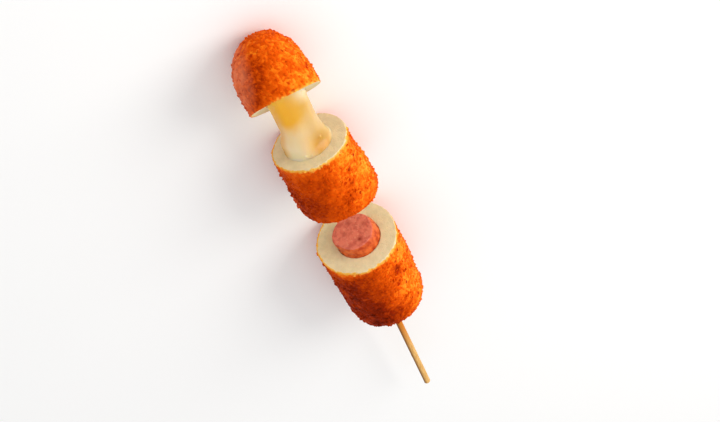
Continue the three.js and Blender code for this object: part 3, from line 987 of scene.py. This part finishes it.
# %% The crumb scatter: sow the points
scatter = bpy.data.node_groups.new("scatter crumbs", "GeometryNodeTree")
sockets = {}
for name, kind in (
    ("Dough", "NodeSocketGeometry"),
    ("Per square metre", "NodeSocketFloat"),
    ("Smallest", "NodeSocketFloat"),
    ("Largest", "NodeSocketFloat"),
    ("Sink", "NodeSocketFloat"),
    ("Seed", "NodeSocketInt"),
    ("Chips", "NodeSocketCollection"),
    ("Material", "NodeSocketMaterial"),
):
    added = scatter.interface.new_socket(name, in_out="INPUT", socket_type=kind)
    sockets[name] = added.identifier
scatter.interface.new_socket("Crumbs", in_out="OUTPUT", socket_type="NodeSocketGeometry")

tree = Tree(scatter)
given = tree.add("NodeGroupInput").outputs
crumbly = tree.add("GeometryNodeInputNamedAttribute", {"Name": "crumbly"}, data_type="FLOAT")
points = tree.add(
    "GeometryNodeDistributePointsOnFaces",
    {
        "Mesh": given["Dough"],
        "Density": tree.math("MULTIPLY", given["Per square metre"], crumbly.outputs["Attribute"]),
        "Seed": given["Seed"],
    },
)
depth_down = tree.math("MULTIPLY", given["Sink"], -1.0)
sunk = tree.add("ShaderNodeVectorMath", {0: points.outputs["Normal"], 3: depth_down}, operation="SCALE")
points = tree.add(
    "GeometryNodeSetPosition",
    {"Geometry": points.outputs["Points"], "Offset": sunk.outputs[0]},
)
print("inputs of the scatter:", ", ".join(sockets))

# %% [markdown]
# Each point gets one of the chips, turned at random. Its size is random too, and the power makes
# small crumbs common and large ones rare, as they are in a bag of panko. A random tone stays on
# each crumb for the material. The tree ends with real mesh, and presses whatever would poke
# through the table flat against it.

# %% The crumb scatter: turn, size and settle the chips
SMALL_BIAS = 1.6
LUCK_SEED = 50.0
TONE_SEED = 90.0
LOWEST = 0.02 * mm

choice = tree.add("GeometryNodeCollectionInfo", {"Collection": given["Chips"], "Separate Children": True})
choice.inputs["Reset Children"].default_value = True
spin = tree.add("FunctionNodeRandomValue", {"Seed": given["Seed"]}, data_type="FLOAT_VECTOR")
spin.inputs["Max"].default_value = (math.tau, math.tau, math.tau)
luck = tree.add("FunctionNodeRandomValue", {"Seed": tree.math("ADD", given["Seed"], LUCK_SEED)})
size = tree.add(
    "ShaderNodeMapRange",
    {
        "Value": tree.math("POWER", luck.outputs[1], SMALL_BIAS),
        "To Min": given["Smallest"],
        "To Max": given["Largest"],
    },
)
copies = tree.add(
    "GeometryNodeInstanceOnPoints",
    {
        "Points": points.outputs[0],
        "Instance": choice.outputs[0],
        "Pick Instance": True,
        "Rotation": spin.outputs[0],
        "Scale": size.outputs["Result"],
    },
)
tone = tree.add("FunctionNodeRandomValue", {"Seed": tree.math("ADD", given["Seed"], TONE_SEED)})
copies = tree.add(
    "GeometryNodeStoreNamedAttribute",
    {"Geometry": copies.outputs[0], "Name": "tone", "Value": tone.outputs[1]},
    data_type="FLOAT",
    domain="INSTANCE",
)
meshes = tree.add("GeometryNodeRealizeInstances", {"Geometry": copies.outputs[0]})
place = tree.add("ShaderNodeSeparateXYZ", {0: tree.add("GeometryNodeInputPosition").outputs[0]}).outputs
above = tree.math("MAXIMUM", place[2], LOWEST)
pressed = tree.add("ShaderNodeCombineXYZ", {0: place[0], 1: place[1], 2: above})
meshes = tree.add(
    "GeometryNodeSetPosition",
    {"Geometry": meshes.outputs[0], "Position": pressed.outputs[0]},
)
coated = tree.add(
    "GeometryNodeSetMaterial",
    {"Geometry": meshes.outputs[0], "Material": given["Material"]},
)
tree.put(tree.add("NodeGroupOutput").inputs["Crumbs"], coated.outputs[0])
print("nodes of the scatter:", len(scatter.nodes))

# %% [markdown]
# All four finishes are built from the same few moves: read a number off the mesh, make noise of a
# given size, stretch a value to a range, mix two colours, walk a ramp of colours, and bump.


# %% Moves that the materials share
def new_material(name):
    material = bpy.data.materials.new(name)
    material.use_nodes = True
    return material, Tree(material.node_tree)


def surface(tree, settings):
    """Sets or joins the inputs of the material's shader."""
    shader = tree.nodes["Principled BSDF"]
    for name, value in settings.items():
        tree.put(shader.inputs[name], value)


def attribute(tree, name):
    return tree.add("ShaderNodeAttribute", attribute_name=name).outputs["Fac"]


def noise_of(tree, size, detail=2.0, where=None):
    """Noise from 0 to 1 with features of about that size, in metres."""
    where = where or tree.add("ShaderNodeTexCoord").outputs["Object"]
    settings = {"Vector": where, "Scale": 1 / size, "Detail": detail}
    return tree.add("ShaderNodeTexNoise", settings).outputs["Fac"]


def mapped(tree, value, low, high, to_low=0.0, to_high=1.0):
    settings = {"Value": value, "From Min": low, "From Max": high, "To Min": to_low, "To Max": to_high}
    return tree.add("ShaderNodeMapRange", settings, interpolation_type="SMOOTHSTEP").outputs["Result"]


def mix(tree, share, first, second):
    """Mixes two colours, each three numbers or a socket."""
    first, second = ((*c, 1) if isinstance(c, tuple) else c for c in (first, second))
    return tree.add("ShaderNodeMix", {0: share, 6: first, 7: second}, data_type="RGBA").outputs[2]


def ramp(tree, value, stops):
    node = tree.add("ShaderNodeValToRGB", {"Fac": value})
    elements = node.color_ramp.elements
    while len(elements) < len(stops):
        elements.new(0.5)
    for element, (at, colour) in zip(elements, stops):
        element.position = at
        element.color = (*colour, 1)
    return node.outputs["Color"]


def bump(tree, height, distance, strength=1.0):
    settings = {"Height": height, "Distance": distance, "Strength": strength}
    return tree.add("ShaderNodeBump", settings).outputs[0]


def centred(tree, value):
    """Moves a value from around a half to around nothing."""
    return tree.math("SUBTRACT", value, 0.5)


# %% [markdown]
# Fried crumb is a colour of its own: amber where it is young, orange, then red-brown, and nearly
# black where it caught. The material walks that ramp with three things added together: the slow
# browning of the skin with its painted shade and painted light, the tone of each grain or crumb,
# and a fine noise. Dark red specks are the cores of Voronoi cells, and only of some, chosen by the
# random colour that each cell has. A pale painted rim light goes over the left of the tip last.

# %% Fried crust: its colour
BURNT = (0.40, 0.016, 0.001)
# colour of the painted rim light
PAINTED_RIM_COLOUR = (0.84, 0.25, 0.12)
FRIED = (
    (0.0, (0.96, 0.38, 0.03)),
    (0.27, (0.90, 0.20, 0.008)),
    (0.42, (0.79, 0.103, 0.003)),
    (0.58, (0.61, 0.065, 0.001)),
    (0.8, (0.31, 0.021, 0.001)),
    (1.0, (0.10, 0.005, 0.001)),
)
FINE_CONTRAST = 0.15
TONE_CONTRAST = 0.12
SPECK_SPACING = 4.4 * mm
SPECK_EDGE = 0.36
SPECK_CORE = 0.14
PAINTED_RIM_SHARE = 0.68

fried_crust, tree = new_material("fried crust")
tone = centred(tree, attribute(tree, "tone"))
fine = centred(tree, noise_of(tree, 1.6 * mm, 4.0))
lively = attribute(tree, "lively")
mottle = tree.math("MULTIPLY_ADD", fine, FINE_CONTRAST, tree.math("MULTIPLY", tone, TONE_CONTRAST))
mottle = tree.math("MULTIPLY", mottle, tree.math("MULTIPLY_ADD", lively, 0.7, 0.6))
brown = tree.math("ADD", mottle, attribute(tree, "browning_and_shade"))
crust_colour = ramp(tree, brown, FRIED)
cells = tree.add("ShaderNodeTexVoronoi", {"Scale": 1 / SPECK_SPACING})
tree.put(cells.inputs["Vector"], tree.add("ShaderNodeTexCoord").outputs["Object"])
cell_luck = tree.add("ShaderNodeSeparateColor", {0: cells.outputs["Color"]}).outputs[0]
in_core = mapped(tree, cells.outputs["Distance"], SPECK_EDGE, SPECK_CORE)
speck = tree.math("MULTIPLY", in_core, mapped(tree, cell_luck, 0.6, 0.85))
speck = tree.math("MULTIPLY", speck, tree.math("MULTIPLY_ADD", lively, 0.6, 0.3))
crust_colour = mix(tree, speck, crust_colour, BURNT)
# painted rim light mixed over the left of the tip
painted_rim = tree.math("MULTIPLY", attribute(tree, "painted_rim_light"), PAINTED_RIM_SHARE)
crust_colour = mix(tree, painted_rim, crust_colour, PAINTED_RIM_COLOUR)
print("stops of the ramp:", len(FRIED))

# %% [markdown]
# Depth under the crust turns it to gold and then to the cream of steamed bread. A noise is added to
# the depth first, so that the edge between them is ragged and not drawn with a ruler. Light goes a
# little way into bread and not into crust. Crust is dull: oil has dried on it, and what shine
# there is has its colour.

# %% Fried crust: gold, bread and shine
BREAD = (0.80, 0.65, 0.39)
BREAD_SHADE = (0.71, 0.58, 0.345)
GOLD = (0.88, 0.46, 0.07)
RAGGED = -5 * mm
GOLD_BAND = (-3.4 * mm, -1.3 * mm)
BREAD_BAND = (-1.1 * mm, -0.2 * mm)

ragged = centred(tree, noise_of(tree, 2.6 * mm, 3.0))
ragged = tree.math("MULTIPLY_ADD", ragged, RAGGED, attribute(tree, "depth"))
bread_colour = mix(tree, mapped(tree, noise_of(tree, 4 * mm, 3.0), 0.3, 0.7), BREAD, BREAD_SHADE)
colour = mix(tree, mapped(tree, ragged, *GOLD_BAND), crust_colour, GOLD)
colour = mix(tree, mapped(tree, ragged, *BREAD_BAND), colour, bread_colour)
in_bread = mapped(tree, attribute(tree, "depth"), -0.5 * mm, 0.5 * mm)
surface(
    tree,
    {
        "Base Color": colour,
        "Roughness": mapped(tree, in_bread, 0.0, 1.0, 0.5, 0.75),
        "Subsurface Weight": mapped(tree, in_bread, 0.0, 1.0, 0.0, 0.2),
        "Subsurface Scale": 1.5 * mm,
        "Subsurface Radius": (1.0, 0.5, 0.25),
        "Specular IOR Level": 0.02,
        "Specular Tint": (1.0, 0.45, 0.15, 1),
        "Normal": bump(tree, noise_of(tree, 0.7 * mm, 3.0), 0.2 * mm),
    },
)
print("fried crust:", len(tree.nodes), "nodes")

# %% [markdown]
# Mozzarella is translucent. Light goes in, scatters for a few millimetres and comes out warmer, so
# thick parts glow. The numbers stored on the mesh say where it is golden, tan, painted in shade or
# painted with a highlight, and the gold and the tan are partly painted shade as well. A cloudy noise
# softens the edge of the gold. Its surface is wet with fat, so it is much smoother than the bread.

# %% Melted cheese
CREAM = (0.86, 0.69, 0.40)
CHEESE_GOLD_AND_SHADE = (0.86, 0.42, 0.005)
CHEESE_TAN_AND_SHADE = (0.68, 0.31, 0.03)
CHEESE_PAINTED_HIGHLIGHT = (0.88, 0.75, 0.50)
CHEESE_PAINTED_SHADE = (0.54, 0.34, 0.10)
CLOUDINESS = 0.3
PAINTED_SHADE_SHARE = 0.7

melted, tree = new_material("melted cheese")
cloudy = centred(tree, noise_of(tree, 7 * mm, 2.0))
golden_and_shade = tree.math("MULTIPLY_ADD", cloudy, CLOUDINESS, attribute(tree, "golden_and_shade"))
colour = mix(tree, mapped(tree, golden_and_shade, 0.0, 0.9), CREAM, CHEESE_GOLD_AND_SHADE)
# tan, partly painted shade
colour = mix(tree, attribute(tree, "tan"), colour, CHEESE_TAN_AND_SHADE)
# painted shade down the right side of the strand
colour = mix(tree, tree.math("MULTIPLY", attribute(tree, "painted_shade"), PAINTED_SHADE_SHARE), colour, CHEESE_PAINTED_SHADE)
# painted highlights
colour = mix(tree, attribute(tree, "painted_highlight"), colour, CHEESE_PAINTED_HIGHLIGHT)
surface(
    tree,
    {
        "Base Color": colour,
        "Subsurface Weight": 0.8,
        "Subsurface Scale": 6 * mm,
        "Subsurface Radius": (1.0, 0.7, 0.35),
        "Roughness": 0.24,
        "Specular IOR Level": 0.25,
        "Normal": bump(tree, noise_of(tree, 3 * mm, 2.0), 0.25 * mm, 0.5),
    },
)
print("melted cheese:", len(tree.nodes), "nodes")

# %% [markdown]
# The cut meat is coarse: two reds in mottles, with flecks of fat and of pepper where a finer noise is
# high or low. The skin is browner and shinier. One material does both, because they are one
# piece, and the number called cut chooses between them.

# %% Sausage
MEAT = (0.72, 0.18, 0.11)
MEAT_DARK = (0.56, 0.11, 0.07)
FAT = (0.85, 0.42, 0.26)
FLECK = (0.20, 0.035, 0.02)
STAIN = (0.27, 0.02, 0.01)
SKIN = (0.76, 0.15, 0.03)
SKIN_DARK = (0.44, 0.04, 0.004)

meat, tree = new_material("sausage")
mottled = noise_of(tree, 3.4 * mm, 3.0)
grain = noise_of(tree, 1.3 * mm, 2.0)
face_colour = mix(tree, mapped(tree, mottled, 0.35, 0.6), MEAT_DARK, MEAT)
face_colour = mix(tree, mapped(tree, grain, 0.6, 0.8, 0.0, 0.6), face_colour, FAT)
face_colour = mix(tree, mapped(tree, grain, 0.3, 0.24, 0.0, 0.7), face_colour, FLECK)
face_colour = mix(tree, attribute(tree, "stained"), face_colour, STAIN)
skin_colour = mix(tree, mapped(tree, mottled, 0.3, 0.7), SKIN_DARK, SKIN)
surface(
    tree,
    {
        "Base Color": mix(tree, attribute(tree, "cut"), skin_colour, face_colour),
        "Roughness": mapped(tree, attribute(tree, "cut"), 0.0, 1.0, 0.3, 0.5),
        "Subsurface Weight": 0.25,
        "Subsurface Scale": 2 * mm,
        "Subsurface Radius": (1.0, 0.4, 0.25),
        "Specular IOR Level": 0.2,
        "Normal": bump(tree, grain, 0.2 * mm, 0.6),
    },
)
print("sausage:", len(tree.nodes), "nodes")

# %% [markdown]
# Bamboo is straw-coloured with darker fibres. The noise is read on a cylinder: slowly along the
# stick and quickly round it, which draws it out into fibres. Next to the food the stick is soaked
# with oil and meat juice and goes amber, and its left side, away from the lamp, is painted dark
# brown as shade.

# %% Bamboo
CANE_DARK = (0.60, 0.30, 0.07)
CANE_LIGHT = (0.84, 0.53, 0.20)
CANE_SOAKED = (0.58, 0.17, 0.006)
CANE_PAINTED_SHADE = (0.20, 0.07, 0.01)
# in radii of the stick: how far the noise runs from the food to the end, and a fibre's width
FIBRE_RUN = 2.5
FIBRE_WIDTH = 0.12

bamboo, tree = new_material("bamboo")
from_food = attribute(tree, "from_food")
across_fibre = tree.math("COSINE", attribute(tree, "fibre"))
where = tree.add("ShaderNodeCombineXYZ", {0: tree.math("MULTIPLY", from_food, FIBRE_RUN)})
tree.put(where.inputs[1], across_fibre)
tree.put(where.inputs[2], tree.math("SINE", attribute(tree, "fibre")))
fibres = noise_of(tree, FIBRE_WIDTH, 4.0, where.outputs[0])
colour = mix(tree, mapped(tree, fibres, 0.3, 0.7), CANE_DARK, CANE_LIGHT)
colour = mix(tree, mapped(tree, from_food, 0.6, 0.12), colour, CANE_SOAKED)
# painted shade: the left side of the stick, away from the lamp, is darkened
painted_stick_shade = mapped(tree, across_fibre, 0.1, 0.9, 0.0, 0.9)
surface(
    tree,
    {
        "Base Color": mix(tree, painted_stick_shade, colour, CANE_PAINTED_SHADE),
        "Roughness": 0.55,
        "Specular IOR Level": 0.08,
        "Normal": bump(tree, fibres, 0.1 * mm, 0.5),
    },
)
print("bamboo:", len(tree.nodes), "nodes")

# %% [markdown]
# Now the crumbs can grow. Two sizes are sown on each length: many small ones that break up the skin,
# and fewer large flakes that show in the outline. A modifier runs the tree. Its inputs go by hidden
# identifiers rather than by their names, which is why those were kept. The result is taken off as
# a plain mesh, and the copy that carried the modifier is thrown away. The two sizes are joined into
# one piece for each length. The chips were only patterns to copy, so they go at the end.

# %% Grow the crumbs
SOWN = (
    # crumbs for each square metre, smallest, largest, how deep they sink
    (0.3e6, 0.8 * mm, 1.5 * mm, 0.15 * mm),
    (0.08e6, 1.8 * mm, 3.4 * mm, 0.25 * mm),
)


def crumbs(name, dough, density, smallest, largest, sink, seed):
    """Grows crumbs on a dough and returns them as a plain mesh object."""
    grown = dough.copy()
    grown.data = dough.data.copy()
    bpy.context.collection.objects.link(grown)
    growth = grown.modifiers.new("crumbs", "NODES")
    growth.node_group = scatter
    settings = {
        "Per square metre": density,
        "Smallest": smallest,
        "Largest": largest,
        "Sink": sink,
        "Seed": seed,
        "Chips": chips,
        "Material": fried_crust,
    }
    for input_name, value in settings.items():
        growth[sockets[input_name]] = value
    settled = grown.evaluated_get(bpy.context.evaluated_depsgraph_get())
    mesh = bpy.data.meshes.new_from_object(settled)
    bpy.data.objects.remove(grown)
    thing = bpy.data.objects.new(name, mesh)
    bpy.context.collection.objects.link(thing)
    return thing


def crumb_coat(name, dough, seed):
    coats = [crumbs(name, dough, *sizes, seed + step) for step, sizes in enumerate(SOWN)]
    coat = coats[0]
    with bpy.context.temp_override(active_object=coat, selected_editable_objects=coats):
        bpy.ops.object.join()
    coat.data.name = name
    print(f"{coat.name}: {len(coat.data.polygons)} faces")
    return coat


tip_crumbs = crumb_coat("tip_crumbs", tip_crust, 3)
middle_crumbs = crumb_coat("middle_crumbs", middle_crust, 13)
bottom_crumbs = crumb_coat("bottom_crumbs", bottom_crust, 23)
for chip in list(chips.objects):
    bpy.data.objects.remove(chip)

# %% [markdown]
# Every piece gets its material, and the imported solid that it stands for is hidden. Food that
# lies on a table is one arrangement, so all the pieces ride on the one root body.

# %% Give the rest their materials, and attach everything to the frame
PIECES = (
    # piece, material, slot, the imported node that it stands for
    (tip_crust, fried_crust, "crust", "tip_dough"),
    (middle_crust, fried_crust, "crust", "middle_dough"),
    (bottom_crust, fried_crust, "crust", "bottom_dough"),
    (tip_crumbs, fried_crust, "crust", "tip_dough"),
    (middle_crumbs, fried_crust, "crust", "middle_dough"),
    (bottom_crumbs, fried_crust, "crust", "bottom_dough"),
    (melted_cheese, melted, "cheese", "cheese"),
    (cut_sausage, meat, "sausage", "sausage"),
    (bamboo_stick, bamboo, "bamboo", "stick"),
)
for piece, material, slot, node in PIECES:
    piece.data.materials.clear()
    piece.data.materials.append(material)
    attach(piece, "root")
    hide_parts(node)
print("pieces:", ", ".join(piece.name for piece, *_ in PIECES))

# %% [markdown]
# A white table lets the food's own colours speak. One large soft lamp stands close to it on the
# right, and only the pale room lights the left. The steep fall from bright orange to deep brown is
# what makes the crust look round.

# %% The table and the light
TABLE_HALF = 6
TABLE_WHITE = (0.93, 0.93, 0.93, 1)
ROOM_LIGHT = 0.84

corners = [(-TABLE_HALF, -TABLE_HALF, 0), (TABLE_HALF, -TABLE_HALF, 0)]
corners += [(TABLE_HALF, TABLE_HALF, 0), (-TABLE_HALF, TABLE_HALF, 0)]
table_mesh = bpy.data.meshes.new("table")
table_mesh.from_pydata(corners, [], [(0, 1, 2, 3)])
table = bpy.data.objects.new("table", table_mesh)
bpy.context.collection.objects.link(table)
table_top, tree = new_material("table top")
surface(tree, {"Base Color": TABLE_WHITE, "Roughness": 0.6})
table_mesh.materials.append(table_top)


def soft_light(name, place, aim, width, watts, colour):
    light = bpy.data.lights.new(name, "AREA")
    light.size = width
    light.energy = watts
    light.color = colour
    lamp = bpy.data.objects.new(name, light)
    lamp.location = place
    lamp.rotation_euler = (Vector(aim) - Vector(place)).to_track_quat("-Z", "Y").to_euler()
    bpy.context.collection.objects.link(lamp)
    print(f"{name} lamp: {watts} watts, {width} metres across")


soft_light(
    "key",
    place=(0.3, -0.8, 0.5),
    aim=(0, 0, 0.03),
    width=0.6,
    watts=6.0,
    colour=(1.0, 0.97, 0.92),
)
world = bpy.data.worlds.new("studio")
world.use_nodes = True
background = world.node_tree.nodes["Background"].inputs
background["Color"].default_value = (1, 1, 1, 1)
background["Strength"].default_value = ROOM_LIGHT
bpy.context.scene.world = world
bpy.context.scene.view_settings.view_transform = "Standard"

# %% [markdown]
# The camera looks down from the tip's side, rolled so that the stick points down and to the right. A
# long lens from a metre away keeps the three lengths nearly the same size.

# %% The camera
LOOK_DOWN = math.radians(48.3)
ROLL = math.radians(25.8)
AIM = Vector((-36.8 * mm, -9.7 * mm, 56.3 * mm)) + to_frame
DISTANCE = 0.9945
LENS = 85
SENSOR = 36

towards = Vector((math.cos(LOOK_DOWN), 0, math.sin(LOOK_DOWN)))
below = Vector((math.sin(LOOK_DOWN), 0, -math.cos(LOOK_DOWN)))
across = Vector((0, -1, 0))
right = across * math.cos(ROLL) - below * math.sin(ROLL)
up = below * math.cos(ROLL) + across * math.sin(ROLL)
lens = bpy.data.cameras.new("camera")
lens.lens = LENS
lens.sensor_width = SENSOR
camera = bpy.data.objects.new("camera", lens)
turn = Matrix((right, up, towards)).transposed().to_4x4()
camera.matrix_world = Matrix.Translation(AIM + towards * DISTANCE) @ turn
bpy.context.collection.objects.link(camera)
bpy.context.scene.camera = camera
print("camera, mm:", [round(value / mm) for value in camera.matrix_world.translation])
